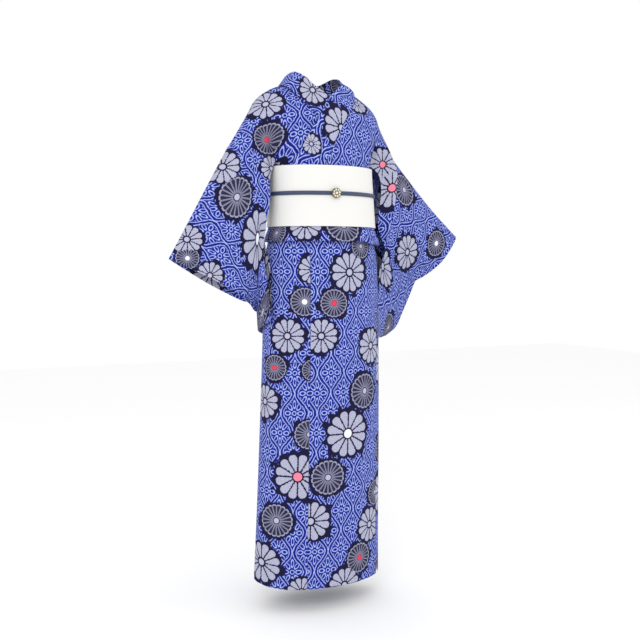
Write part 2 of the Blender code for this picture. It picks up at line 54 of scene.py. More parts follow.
# Rings of the robe by height: middle, half width and half depth
skirtRings = {
    "z": (-1.296, -0.990, -0.660, -0.500, -0.430, -0.392, -0.352, -0.335),
    "cx": (0.002, 0.005, 0.008, 0.008, 0.008, 0.008, 0.008, 0.007),
    "a": (0.1720, 0.1655, 0.1590, 0.1565, 0.1530, 0.1450, 0.1340, 0.1330),
    "b": (0.1000, 0.1050, 0.1110, 0.1110, 0.1090, 0.1050, 0.0965, 0.0955),
}
waistRings = {
    "z": (-0.392, -0.352, -0.275, -0.197, -0.150),
    "cx": (0.008, 0.008, 0.006, 0.003, 0.001),
    "a": (0.1440, 0.1380, 0.1335, 0.1320, 0.1340),
    "b": (0.1060, 0.1010, 0.0965, 0.0945, 0.0960),
}
# The chest's depth in front and behind, its half width, and how far (cut) the depth falls off there
chest = {
    "z": (-0.275, -0.197, -0.150, -0.110, -0.070, -0.030, 0.010),
    "cx": (0.006, 0.003, 0.001, 0.000, 0.000, 0.000, 0.000),
    "front": (0.0965, 0.0945, 0.0950, 0.0920, 0.0850, 0.0740, 0.0660),
    "back": (0.0965, 0.0960, 0.1020, 0.1060, 0.1040, 0.0980, 0.0950),
    "half": (0.1335, 0.1320, 0.1420, 0.1560, 0.1660, 0.1740, 0.1800),
    "cut": (1.00, 1.00, 0.90, 0.82, 0.80, 0.80, 0.80),
}
# Where the free front edge lies, by length round the skirt from the front's middle, and the panels' widths
skirtEdge = -0.246
skirtCut = {"okumi": 0.165, "front": 0.225, "back": 0.280}
# The shoulder line from the neck to the armhole
shoulder = {
    "right": {"x": (0.106, 0.142, 0.182, 0.205, 0.254), "z": (0.012, -0.001, -0.032, -0.072, -0.150)},
    "left": {"x": (0.086, 0.125, 0.158, 0.191, 0.217), "z": (0.004, -0.013, -0.042, -0.105, -0.160)},
}
# Each sleeve's four edge lines: its fold, inner edge, wrist edge and bottom seam, x outwards,
# and half the room in it over the arm, in its bag and at the wrist
sleeve = {
    "right": {
        "fold": {"s": (0, 0.5, 1), "x": (0.254, 0.334, 0.413), "y": (0, 0, 0), "z": (-0.150, -0.294, -0.436)},
        "inner": {
            "t": (0, 0.20, 0.45, 0.75, 1),
            "x": (0.254, 0.216, 0.177, 0.162, 0.159),
            "y": (0, -0.002, -0.012, -0.036, -0.048),
            "z": (-0.150, -0.232, -0.345, -0.475, -0.592),
        },
        "wrist": {
            "t": (0, 0.24, 0.47, 0.62, 0.80, 1),
            "x": (0.413, 0.308, 0.206, 0.176, 0.126, 0.112),
            "y": (0, -0.004, -0.004, 0.022, 0.088, 0.100),
            "z": (-0.436, -0.492, -0.546, -0.570, -0.586, -0.642),
        },
        "bottom": {
            "s": (0, 0.5, 1), "x": (0.159, 0.163, 0.112), "y": (-0.048, 0.028, 0.100),
            "z": (-0.592, -0.622, -0.642),
        },
        "arm": 0.040, "bag": 0.024, "wristHalf": 0.026,
    },
    "left": {
        "fold": {
            "s": (0, 0.5, 1), "x": (0.217, 0.333, 0.452), "y": (0, 0.008, 0.020),
            "z": (-0.160, -0.272, -0.370),
        },
        "inner": {
            "t": (0, 0.20, 0.45, 0.75, 1),
            "x": (0.217, 0.206, 0.184, 0.179, 0.177),
            "y": (0, -0.003, 0.006, 0.003, -0.006),
            "z": (-0.160, -0.262, -0.405, -0.530, -0.632),
        },
        "wrist": {
            "t": (0, 0.24, 0.50, 0.62, 0.78, 0.90, 1),
            "x": (0.452, 0.408, 0.352, 0.343, 0.332, 0.318, 0.285),
            "y": (0.020, 0.045, 0.075, 0.095, 0.120, 0.135, 0.135),
            "z": (-0.370, -0.427, -0.492, -0.535, -0.590, -0.634, -0.658),
        },
        "bottom": {
            "s": (0, 0.5, 1), "x": (0.177, 0.226, 0.285), "y": (-0.006, 0.075, 0.135),
            "z": (-0.632, -0.658, -0.658),
        },
        "arm": 0.038, "bag": 0.024, "wristHalf": 0.026,
    },
}
# The armhole seam ends at this share of the sleeve's depth
armholeEnd = 0.449
# The collar's two long edges from the nape to the front end. Where y is None the line lies on the chest.
collar = {
    "left": {
        "seam": (
            (0.000, 0.0920, -0.014), (0.048, 0.0800, -0.010), (0.080, 0.0330, 0.006), (0.079, None, -0.004),
            (0.064, None, -0.038), (0.037, None, -0.070), (0.009, None, -0.113), (-0.016, None, -0.161),
            (-0.040, None, -0.212), (-0.056, None, -0.248),
        ),
        "edge": (
            (0.000, 0.1160, 0.040), (0.042, 0.0980, 0.043), (0.058, 0.0460, 0.050), (0.052, -0.0060, 0.032),
            (0.024, -0.0400, 0.004), (-0.008, None, -0.022), (-0.041, None, -0.069), (-0.073, None, -0.120),
            (-0.097, None, -0.172), (-0.112, None, -0.209),
        ),
    },
    "right": {
        "seam": (
            (0.000, 0.0920, -0.014), (0.058, 0.0800, -0.008), (0.100, 0.0330, 0.014), (0.104, None, 0.002),
            (0.078, None, -0.034), (0.046, None, -0.068), (0.014, None, -0.113), (-0.012, None, -0.161),
            (-0.036, None, -0.212), (-0.052, None, -0.246),
        ),
        "edge": (
            (0.000, 0.1160, 0.040), (0.050, 0.0980, 0.041), (0.074, 0.0500, 0.044), (0.070, -0.0100, 0.046),
            (0.034, -0.0400, 0.012), (-0.004, None, -0.024), (-0.040, None, -0.069), (-0.073, None, -0.120),
            (-0.094, None, -0.174), (-0.100, None, -0.210),
        ),
    },
}
# The body panels' lower edge beside the obi, out to the end of the armhole seam
sideEdge = {
    "right": {"x": (0.104, 0.134, 0.154, 0.158), "z": (-0.214, -0.190, -0.222, -0.290)},
    "left": {"x": (0.104, 0.138, 0.168, 0.172), "z": (-0.214, -0.186, -0.216, -0.350)},
}
sides = {"right": -1, "left": 1}


def smoothStep(low, high, value):
    t = np.clip((value - low) / (high - low), 0.0, 1.0)
    return t * t * (3.0 - 2.0 * t)


def spline(knots, values, at):
    # Cubic pieces through the knots, whose slopes are the means of their neighbours' slopes
    knots = np.asarray(knots, float)
    values = np.asarray(values, float)
    steps = np.diff(values) / np.diff(knots)
    slopes = np.concatenate([steps[:1], (steps[1:] + steps[:-1]) / 2, steps[-1:]])
    at = np.clip(np.asarray(at, float), knots[0], knots[-1])
    i = np.clip(np.searchsorted(knots, at, side="right") - 1, 0, len(knots) - 2)
    width = knots[i + 1] - knots[i]
    t = (at - knots[i]) / width
    startPart = (1 + 2 * t) * (1 - t) ** 2 * values[i] + t * (1 - t) ** 2 * width * slopes[i]
    endPart = t * t * (3 - 2 * t) * values[i + 1] - t * t * (1 - t) * width * slopes[i + 1]
    return startPart + endPart


def splinePoints(knots, points, at):
    return np.stack([spline(knots, points[:, axis], at) for axis in range(3)], axis=-1)


def tableLine(table, key, at):
    return np.stack([spline(table[key], table[axis], at) for axis in "xyz"], axis=-1)


def ringValue(rings, column, z):
    order = np.argsort(rings["z"])
    return spline(np.array(rings["z"])[order], np.array(rings[column])[order], z)


def normalsOf(grid):
    normal = np.cross(np.gradient(grid, axis=0), np.gradient(grid, axis=1))
    return normal / np.maximum(np.linalg.norm(normal, axis=-1, keepdims=True), 1e-12)


def places(*coordinates):
    # Points from arrays of coordinates that broadcast together
    return np.stack(np.broadcast_arrays(*coordinates), axis=-1)


def runLength(grid, axis):
    # Length run along one axis of a grid of points
    steps = np.cumsum(np.linalg.norm(np.diff(grid, axis=axis), axis=-1), axis=axis)
    first = np.zeros_like(np.take(steps, [0], axis=axis))
    return np.concatenate([first, steps], axis=axis)


def lineTable(*rows):
    # Columns: where the line starts, where it ends, its depth, its width and, where it has one, its bend
    names = ("u0", "v0", "u1", "v1", "depth", "width", "bend")
    return [dict(zip(names, row)) for row in rows]


def softLines(place, lines):
    # Sum of soft troughs (depth below 0) and ridges: each is a bell across a straight line,
    # faded out at both ends
    total = np.zeros(place.shape[:-1])
    for line in lines:
        first = np.array([line["u0"], line["v0"]])
        along = np.array([line["u1"], line["v1"]]) - first
        length = np.linalg.norm(along)
        share = (place - first) @ along / length**2
        bend = line.get("bend", 0.0) * np.sin(math.pi * np.clip(share, 0, 1))
        across = np.cross(along / length, place - first) + bend
        fade = smoothStep(-0.12, 0.22, share) * (1 - smoothStep(0.72, 1.12, share))
        total += line["depth"] * np.exp(-((across / line["width"]) ** 2)) * fade
    return total


# One named layout of large blossoms for each panel, in that panel's own cloth metres.
# A plain one has twelve full petals, and one with rays has many outlined ones.
bloomEyes = {"grey": 0.0, "white": 1.0, "red": 2.0, "pink": 3.0}


def bloomTable(plain, rays):
    # Columns: across, along, radius and, where the eye isn't grey, its colour
    rows = [(0.0, *row) for row in plain] + [(1.0, *row) for row in rays]
    return [{"eye": "grey", **dict(zip(("kind", "u", "v", "r", "eye"), row))} for row in rows]


def scatterBlooms(width, top, bottom, seed):
    # Pairs of a large plain blossom and a smaller one with rays, stepping down a hidden panel
    random = np.random.default_rng(seed)
    plain, rays = [], []
    v = top - 0.03 - 0.06 * random.random()
    side = random.random() < 0.5
    while v > bottom - 0.02:
        u = (0.20 if side else 0.72) * width + 0.03 * (random.random() - 0.5)
        large = 0.046 + 0.018 * random.random()
        plain.append((u, v, large, ("grey", "white", "grey", "pink")[int(4 * random.random())]))
        away = (0.62 if side else -0.62) * width
        small = 0.036 + 0.012 * random.random()
        rays.append((u + away, v - 0.055, small, ("grey", "red", "white")[int(3 * random.random())]))
        v -= 0.150 + 0.050 * random.random()
        side = not side
    return bloomTable(plain, rays)


blossoms = {
    "skirt_front_left": bloomTable(
        plain=(
            (0.106, -0.470, 0.050), (0.027, -0.633, 0.043), (0.185, -0.665, 0.046),
            (0.106, -0.891, 0.060, "white"), (0.006, -1.115, 0.051), (0.191, -1.149, 0.045),
            (0.104, -1.296, 0.045),
        ),
        rays=(
            (0.147, -0.402, 0.032), (0.061, -0.549, 0.036, "red"), (0.159, -0.783, 0.046),
            (0.051, -1.002, 0.045), (0.219, -1.067, 0.034), (0.151, -1.231, 0.040, "red"),
        ),
    ),
    "okumi_left": bloomTable(
        plain=(
            (0.172, -0.463, 0.036), (0.106, -0.633, 0.043), (0.039, -0.807, 0.043),
            (0.137, -0.997, 0.058, "pink"), (0.042, -1.236, 0.052), (0.150, -1.300, 0.036),
        ),
        rays=(
            (0.150, -0.545, 0.036, "white"), (0.071, -0.716, 0.033, "red"), (0.172, -0.720, 0.028),
            (0.165, -0.887, 0.038), (0.083, -1.115, 0.043),
        ),
    ),
    "waist_fold": bloomTable(
        plain=(
            (-0.088, -0.086, 0.040), (0.200, -0.120, 0.050), (-0.300, -0.120, 0.052, "white"),
            (0.395, -0.140, 0.045),
        ),
        rays=(
            (0.008, -0.088, 0.044), (-0.168, -0.108, 0.030), (0.300, -0.080, 0.038, "white"),
            (-0.400, -0.060, 0.035, "red"),
        ),
    ),
    "body_right": bloomTable(
        plain=(
            (0.165, -0.058, 0.040), (0.150, -0.222, 0.032), (0.080, 0.120, 0.056),
            (0.030, 0.250, 0.050, "pink"),
        ),
        rays=((0.164, -0.150, 0.037, "red"), (0.140, 0.190, 0.040, "white"), (0.200, 0.080, 0.036)),
    ),
    "body_left": bloomTable(
        plain=(
            (0.082, -0.058, 0.030), (0.176, -0.196, 0.044, "pink"), (0.202, -0.262, 0.050, "pink"),
            (0.130, 0.150, 0.058),
        ),
        rays=((0.060, 0.090, 0.042), (0.040, 0.220, 0.040, "red")),
    ),
    "sleeve_right": bloomTable(
        plain=(
            (0.064, -0.010, 0.043), (0.169, -0.212, 0.070, "white"), (0.268, -0.014, 0.036),
            (0.325, -0.104, 0.034), (0.120, 0.110, 0.060, "white"), (0.300, 0.120, 0.050),
            (0.180, 0.300, 0.058),
        ),
        rays=(
            (0.119, -0.082, 0.052), (0.310, -0.036, 0.028, "white"), (0.243, -0.392, 0.032),
            (0.210, 0.180, 0.045), (0.230, 0.400, 0.040),
        ),
    ),
    "sleeve_left": bloomTable(
        plain=(
            (0.206, -0.171, 0.044), (0.161, -0.292, 0.042), (0.120, 0.110, 0.060),
            (0.200, 0.280, 0.060, "white"), (0.200, 0.420, 0.050),
        ),
        rays=(
            (0.081, -0.064, 0.042), (0.274, -0.067, 0.034, "white"), (0.282, -0.347, 0.034),
            (0.230, 0.150, 0.045, "red"), (0.300, 0.330, 0.042),
        ),
    ),
    "collar": bloomTable(
        plain=((0.043, -0.264, 0.036), (0.000, 0.330, 0.046), (0.045, 0.415, 0.022), (0.010, -0.080, 0.036)),
        rays=((0.040, 0.030, 0.040, "white"), (0.030, 0.130, 0.034)),
    ),
    "skirt_back_left": scatterBlooms(0.28, -0.36, -1.30, 11),
    "skirt_back_right": scatterBlooms(0.28, -0.36, -1.30, 12),
    "skirt_front_right": scatterBlooms(0.225, -0.36, -1.30, 13),
    "okumi_right": scatterBlooms(0.165, -0.36, -1.30, 14),
}


def nearestBloom(panel, place):
    # Centre, radius, kind and eye of the blossom that is nearest to each place, in its own radii
    table = blossoms[panel]
    centre = np.array([[bloom["u"], bloom["v"]] for bloom in table])
    radius = np.array([bloom["r"] for bloom in table])
    away = np.linalg.norm(place[:, None] - centre[None], axis=-1) / radius
    row = np.argmin(away, axis=1)
    kind = np.array([bloom["kind"] for bloom in table])
    eye = np.array([bloomEyes[bloom["eye"]] for bloom in table])
    return centre[row], radius[row], np.stack([kind, eye], axis=-1)[row]


def addMesh(name, points, faces, material):
    mesh = bpy.data.meshes.new(name)
    mesh.from_pydata(points, [], faces)
    mesh.materials.append(material)
    obj = bpy.data.objects.new(name, mesh)
    bpy.context.scene.collection.objects.link(obj)
    return obj


def setCorners(mesh, name, values):
    # A UV map from one place for each corner of each face
    uvMap = mesh.uv_layers.new(name=name)
    uvMap.data.foreach_set("uv", np.ascontiguousarray(values, np.float32).reshape(-1))


def clothPiece(
    name, node, grid, uv, cloth, turned=False, closed=False, even=False
):
    # A wall about a grid of points, closed into a ring or not, and turned where it would face inwards.
    # uv holds the cloth places of the columns of points, or a pair for both sides of each column of faces.
    left, right = uv if isinstance(uv, tuple) else (uv[:, :-1], uv[:, 1:])
    if turned:
        grid = grid[:, ::-1]
        shift = -1 if closed else 0
        left, right = (np.roll(side[:, ::-1], shift, axis=1) for side in (right, left))
    rows, columns = grid.shape[:2]
    index = np.arange(rows * columns).reshape(rows, columns)
    if closed:
        index = np.concatenate([index, index[:, :1]], axis=1)
    faces = np.stack([index[:-1, :-1], index[1:, :-1], index[1:, 1:], index[:-1, 1:]], axis=-1).reshape(-1, 4)
    corners = np.stack([left[:-1], left[1:], right[1:], right[:-1]], axis=2).reshape(-1, 4, 2)
    points = grid.reshape(-1, 3)
    obj = addMesh(name, points.tolist(), faces.tolist(), cloth["material"])
    mesh = obj.data
    mesh.shade_smooth()
    setCorners(mesh, "cloth", corners)
    if node in blossoms:
        centre, radius, facts = nearestBloom(node, corners.mean(axis=1))
        setCorners(mesh, "petal", (corners - centre[:, None]) / radius[:, None, None])
        setCorners(mesh, "bloom", np.repeat(facts[:, None], 4, axis=1))
    edgeOfLoop = np.empty(len(mesh.loops), np.int32)
    mesh.loops.foreach_get("edge_index", edgeOfLoop)
    rim = np.bincount(edgeOfLoop, minlength=len(mesh.edges)) == 1
    mesh.edges.foreach_set("use_edge_sharp", rim)
    solidify = obj.modifiers.new("wall", "SOLIDIFY")
    solidify.thickness = cloth["wall"]
    solidify.offset = 0.0
    solidify.use_even_offset = even
    solidify.use_quality_normals = True
    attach(obj, "root")
    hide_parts(node)
    a, b, c, d = points[faces].transpose(1, 0, 2)
    shown = np.linalg.norm(np.cross(c - a, d - b), axis=-1).sum() / 2
    print(f"{name}: {len(faces)} faces, {shown:.4f} m2 of cloth shown")


# Materials

class Field:
    # A socket whose plain arithmetic makes math nodes
    def __init__(self, tree, socket):
        self.tree = tree
        self.socket = socket

    def do(self, operation, *others):
        return mathNode(self.tree, operation, self, *others)

    def __add__(self, other):
        return self.do("ADD", other)

    def __sub__(self, other):
        return self.do("SUBTRACT", other)

    def __rsub__(self, other):
        return mathNode(self.tree, "SUBTRACT", other, self)

    def __mul__(self, other):
        return self.do("MULTIPLY", other)

    def __truediv__(self, other):
        return self.do("DIVIDE", other)

    def __pow__(self, other):
        return self.do("POWER", other)

    def __abs__(self):
        return self.do("ABSOLUTE")


def feed(tree, socket, value):
    # Links a field to a socket, or sets its number or colour
    if isinstance(value, Field):
        tree.links.new(value.socket, socket)
    elif isinstance(value, tuple):
        socket.default_value = (*value, 1.0)
    else:
        socket.default_value = value


def mathNode(tree, operation, *values):
    node = tree.nodes.new("ShaderNodeMath")
    node.operation = operation
    for socket, value in zip(node.inputs, values):
        feed(tree, socket, value)
    return Field(tree, node.outputs[0])


def mixColour(tree, share, first, second):
    node = tree.nodes.new("ShaderNodeMix")
    node.data_type = "RGBA"
    node.clamp_factor = True
    for socket, value in ((node.inputs[0], share), (node.inputs[6], first), (node.inputs[7], second)):
        feed(tree, socket, value)
    return Field(tree, node.outputs[2])


def shaderOf(name, roughness, metallic=0.0, sheen=0.0):
    material = bpy.data.materials.new(name)
    material.use_nodes = True
    shader = material.node_tree.nodes["Principled BSDF"]
    shader.inputs["Roughness"].default_value = roughness
    shader.inputs["Metallic"].default_value = metallic
    shader.inputs["Sheen Weight"].default_value = sheen
    return material, material.node_tree, shader


def plainMaterial(name, colour, roughness, metallic=0.0):
    material, tree, shader = shaderOf(name, roughness, metallic)
    feed(tree, shader.inputs["Base Color"], colour)
    return material


def uvFields(tree, name):
    # One of the piece's UV maps: the whole vector, and its two coordinates
    node = tree.nodes.new("ShaderNodeUVMap")
    node.uv_map = name
    split = tree.nodes.new("ShaderNodeSeparateXYZ")
    tree.links.new(node.outputs[0], split.inputs[0])
    return node.outputs[0], Field(tree, split.outputs[0]), Field(tree, split.outputs[1])


def addNode(tree, kind, **numbers):
    node = tree.nodes.new(kind)
    for name, number in numbers.items():
        node.inputs[name].default_value = number
    return node


def addNoise(tree, vector, scale, detail=2.0, dimensions="2D"):
    node = addNode(tree, "ShaderNodeTexNoise", Scale=scale, Detail=detail)
    node.noise_dimensions = dimensions
    tree.links.new(vector, node.inputs["Vector"])
    return Field(tree, node.outputs[0])


def addBump(tree, shader, height, strength, distance):
    bump = addNode(tree, "ShaderNodeBump", Strength=strength, Distance=distance)
    feed(tree, bump.inputs["Height"], height)
    tree.links.new(bump.outputs[0], shader.inputs["Normal"])


def clamped(value):
    return value.do("MAXIMUM", 0.0).do("MINIMUM", 1.0)


def band(value, middle, half, soft):
    # 1 within half of middle, 0 past soft more
    return 1.0 - clamped((abs(value - middle) - half) / soft)


def below(value, limit, soft):
    # 1 below the limit and 0 above it, over a soft edge
    return clamped((limit - value) / soft + 0.5)


def hypot(x, y):
    return (x * x + y * y).do("SQRT")


cottonLook = {
    "blue": (0.007, 0.013, 0.255), "deep": (0.006, 0.010, 0.200), "line": (0.380, 0.470, 0.830),
    "navy": (0.007, 0.006, 0.036), "petal": (0.520, 0.530, 0.670), "petalDark": (0.150, 0.155, 0.280),
    "rays": (0.400, 0.405, 0.540), "grey": (0.440, 0.450, 0.600), "white": (0.800, 0.830, 0.900),
    "red": (0.720, 0.045, 0.090), "pink": (0.800, 0.220, 0.310),
    "columnWidth": 0.036, "cellHeight": 0.104, "swell": 0.0135, "outline": 0.0038, "flowerRoom": 0.0062,
    "flowerHalfWidth": 0.0262, "flowerHalfHeight": 0.0370, "ring": 0.0050, "petals": 12, "rayCount": 20,
    "eye": 0.165, "colouredEye": 0.195,
}


def makeCotton():
    look = cottonLook
    material, tree, shader = shaderOf("dyedCotton", 0.92)
    shader.inputs["Specular IOR Level"].default_value = 0.22

    def noise(scale, detail=2.0):
        return addNoise(tree, clothVector, scale, detail)

    clothVector, u, v = uvFields(tree, "cloth")
    _, px, py = uvFields(tree, "petal")
    _, kind, eye = uvFields(tree, "bloom")
    shake = noise(330.0)
    thick = (shake - 0.5) * 0.0016

    # Ground: columns of pointed-oval cells, each with a small eight-petal flower.
    # x and y run from the nearest cell's middle, whose border swells and narrows as a cosine.
    width = look["columnWidth"]
    height = look["cellHeight"]
    wave = 2 * math.pi / height
    uBent = u + (noise(70.0) - 0.5) * 0.005
    column = (uBent / width).do("FLOOR")
    across = abs(uBent - column * width - width / 2)
    odd = abs(column).do("MODULO", 2.0) * 0.5
    upright = abs((v / height + odd).do("FRACT") - 0.5) * height
    border = (upright * wave).do("COSINE") * look["swell"] + width / 2
    outside = across.do("GREATER_THAN", border)
    flip = 1.0 - outside * 2.0
    x = across * flip + outside * width
    y = upright * flip + outside * (height / 2)
    slope = (upright * wave).do("SINE") * (look["swell"] * wave)
    toBorder = abs(across - border) * (slope * slope + 1.0) ** -0.5
    outline = band(toBorder + thick, look["outline"], 0.0006, 0.0008)
    # The flower, in shares of its half width and half height
    ex = x / look["flowerHalfWidth"]
    ey = y / look["flowerHalfHeight"]
    reach = hypot(ex, ey)
    eighth = math.pi / 8
    petalAngle = abs((ey.do("ARCTAN2", ex) + eighth).do("FLOORED_MODULO", 2 * eighth) - eighth)
    alongPetal = reach * petalAngle.do("COSINE")
    acrossPetal = reach * petalAngle.do("SINE")
    oval = (((alongPetal - 0.62) / 0.32) ** 2.0 + (acrossPetal / 0.165) ** 2.0).do("SQRT")
    petalLine = band(oval, 0.80, 0.11, 0.15)
    ring = band(hypot(x, y) + thick, look["ring"], 0.0007, 0.0008)
    offPetal = reach * (eighth - petalAngle).do("SINE")
    spike = below(offPetal, 0.035, 0.03) * band(reach, 0.93, 0.11, 0.05)
    flowerLine = petalLine.do("MAXIMUM", ring).do("MAXIMUM", spike)
    lineMask = outline.do("MAXIMUM", flowerLine * toBorder.do("GREATER_THAN", look["flowerRoom"]))
    ground = mixColour(tree, below(toBorder, 0.0020, 0.001), look["blue"], look["deep"])
    ground = mixColour(tree, lineMask * (shake * 0.80 + 0.55), ground, look["line"])

    # Large blossoms: far and bearing are polar coordinates about the nearest one, in its own radii
    far = hypot(px, py)
    bearing = (py.do("ARCTAN2", px) + math.pi) / (2 * math.pi)
    ragged = (noise(240.0) - 0.5) * 0.10

    def fromMiddle(count):
        # 0 on a petal's middle line and 1 where two petals meet, with the distance to that meeting
        off = abs((bearing * float(count)).do("FRACT") - 0.5) * 2.0
        return off, (1.0 - off) * (far * (math.pi / count))

    plainOff, parting = fromMiddle(look["petals"])
    plainTip = 1.0 - plainOff ** 3.0 * 0.24 + ragged * 0.4
    plainIn = below(far, plainTip, 0.03) * below(0.26, far, 0.02)
    plainMask = plainIn * below(ragged + 0.034, parting, 0.016)
    raysOff, rayParting = fromMiddle(look["rayCount"])
    raysTip = 1.0 - raysOff ** 4.0 * 0.10
    raysIn = below(far, raysTip, 0.02) * below(0.22, far, 0.02)
    rayHollow = below(0.032, rayParting, 0.02) * below(far, raysTip - 0.08, 0.04)
    raysMask = raysIn * below(0.008, rayParting, 0.010) * (1.0 - rayHollow * 0.95)
    plain = 1.0 - kind
    bloomMask = plainMask * plain + raysMask * kind
    petalColour = mixColour(tree, kind, look["petal"], look["rays"])
    petalColour = mixColour(tree, (noise(900.0, 1.0) - 0.34) * 5.0, look["petalDark"], petalColour)
    # The dark surround follows the petal tips, and spreads here and there
    spread = ((noise(42.0, 1.0) - 0.42) * 0.9).do("MAXIMUM", 0.0)
    tip = plainTip * plain + raysTip * kind
    halo = below(far + ragged, tip * 0.45 + 0.665 + spread, 0.03)
    colour = mixColour(tree, halo, ground, look["navy"])
    colour = mixColour(tree, bloomMask, colour, petalColour)
    eyeColour = look["grey"]
    for name in ("white", "red", "pink"):
        eyeColour = mixColour(tree, eye.do("COMPARE", bloomEyes[name], 0.4), eyeColour, look[name])
    eyeSize = eye.do("GREATER_THAN", 0.5) * (look["colouredEye"] - look["eye"]) + look["eye"]
    feed(tree, shader.inputs["Base Color"], mixColour(tree, below(far, eyeSize, 0.02), colour, eyeColour))
    return material


cotton = {"material": makeCotton(), "slot": "yukata_cotton", "wall": 0.0012}
print("cotton material made")


# Skirt

# Long soft ridges down the skirt, by cloth place (around, height)
skirtRidges = lineTable(
    (-0.19, -0.42, -0.17, -1.05, 0.0022, 0.012, 0.006),
    (-0.10, -0.60, -0.12, -1.30, 0.0018, 0.016, -0.008),
    (0.00, -0.41, 0.03, -0.86, 0.0016, 0.012),
    (0.09, -0.50, 0.06, -1.32, 0.0026, 0.018, 0.010),
    (0.19, -0.42, 0.17, -1.12, 0.0024, 0.014, 0.006),
    (0.28, -0.55, 0.30, -1.30, 0.0028, 0.018, -0.008),
    (0.42, -0.45, 0.40, -1.20, 0.0026, 0.017),
    (0.52, -0.40, 0.55, -0.95, 0.0020, 0.014, 0.006),
    (0.62, -0.62, 0.60, -1.32, 0.0028, 0.018, 0.008),
)
skirtLook = {
    "columns": {"okumi": 30, "front": 42, "back": 51}, "rows": 149,
    "length": 0.961, "flare": 0.011, "lift": 0.010,
}


def ellipseArc(a, b, arc):
    # Angle from the front centre at which the arc along an ellipse, positive to the wearer's left, is arc
    angle = np.linspace(-4 * math.pi, 4 * math.pi, 1441)
    step = np.hypot(a * np.cos(angle), b * np.sin(angle))
    length = np.concatenate([[0.0], np.cumsum((step[1:] + step[:-1]) / 2 * np.diff(angle))])
    length -= np.interp(0.0, angle, length)
    return np.interp(arc, length, angle)


def ringPoint(rings, angle, z, out):
    # The ring's ellipse (cx + a sin q, -b cos q) at height z, moved out along its normal
    # (sin q / a, -cos q / b)
    a = ringValue(rings, "a", z)
    b = ringValue(rings, "b", z)
    normalX = np.sin(angle) / a
    normalY = -np.cos(angle) / b
    scale = out / np.hypot(normalX, normalY)
    x = ringValue(rings, "cx", z) + a * np.sin(angle) + normalX * scale
    y = -b * np.cos(angle) + normalY * scale
    return places(x, y, z)


def skirtGrid(arcFrom, arcTo, columns, rows):
    # One spiral of cloth, from its free front edge inwards by 2 layers a turn, so that overlaps lie clear.
    # Towards the hem the free edge stands off and rises a little.
    z = np.linspace(heights["hem"], heights["skirtTop"], rows)[:, None]
    arc = np.linspace(arcFrom, arcTo, columns)[None, :]
    ringSizes = zip(ringValue(skirtRings, "a", z[:, 0]), ringValue(skirtRings, "b", z[:, 0]))
    angle = np.array([ellipseArc(a, b, arc[0]) for a, b in ringSizes])
    turnLength = 2 * sum(skirtCut.values()) * 0.66
    fromEdge = arc - skirtEdge
    out = layer * 1.5 - 2 * layer * fromEdge / turnLength
    low = np.clip((heights["skirtTop"] - z) / (heights["skirtTop"] - heights["hem"]), 0, 1)
    flare = skirtLook["flare"] * low ** 1.5 * (1 - smoothStep(0.0, 0.09, fromEdge))
    around = places(arc, z)
    grid = ringPoint(skirtRings, angle, z, out + flare + softLines(around, skirtRidges))
    lift = skirtLook["lift"] * (1 - smoothStep(0.0, 0.12, fromEdge)) * smoothStep(-1.1, heights["hem"], z)
    grid[..., 2] += lift
    return grid, around


def buildSkirt():
    pieces = {
        "okumi_left": "okumi", "skirt_front_left": "front", "skirt_back_left": "back",
        "skirt_back_right": "back", "skirt_front_right": "front", "okumi_right": "okumi",
    }
    start = skirtEdge
    for node, cut in pieces.items():
        end = start + skirtCut[cut]
        first = start if node == "okumi_left" else start + seamGap / 2
        last = end if node == "okumi_right" else end - seamGap / 2
        grid, place = skirtGrid(first, last, skirtLook["columns"][cut], skirtLook["rows"])
        uv = place - np.array([start, 0.0])
        clothPiece(node + "Cloth", node, grid, uv, cotton, turned=True)
        start = end
    print("skirt built")


# Waist fold

foldLook = {"columns": 150, "rows": 40, "sag": 0.007, "flat": (0.84, 0.165)}
# Its section from the outer top down, round the fold and up inside. drop is the share of the sag there.
foldSection = {
    "z": (-0.262, -0.310, -0.352, -0.372, -0.387, -0.390, -0.387, -0.372, -0.352, -0.338),
    "out": (0.0093, 0.0093, 0.0093, 0.0135, 0.0150, 0.0130, 0.0110, 0.0098, 0.0036, 0.0032),
    "drop": (0.0, 0.0, 0.0, 0.6, 1.0, 1.0, 1.0, 0.6, 0.0, 0.0),
}


def buildWaistFold():
    # The spare length runs down outside, round a soft fold below the obi, and up again inside
    around = np.linspace(-math.pi, math.pi, foldLook["columns"] + 1)
    angle = around[:-1]
    sag = foldLook["sag"] * smoothStep(0.45, 0.75, angle) * (1 - smoothStep(1.9, 2.5, angle))
    knots = np.arange(len(foldSection["z"]))
    at = np.linspace(0, len(knots) - 1, foldLook["rows"])
    z, out, drop = (spline(knots, foldSection[column], at)[:, None] for column in ("z", "out", "drop"))
    grid = ringPoint(waistRings, angle, z, out + 0.5 * sag * drop)
    grid[..., 2] -= sag * drop
    uv = places(around / (2 * math.pi) * 0.83, -runLength(grid, 0)[:, :1])
    clothPiece("waistFoldCloth", "waist_fold", grid, uv, cotton, closed=True)
    print("waist fold built")


# Upper body

bodyLook = {"columns": 62, "rows": 66, "flat": (0.285, 0.54)}
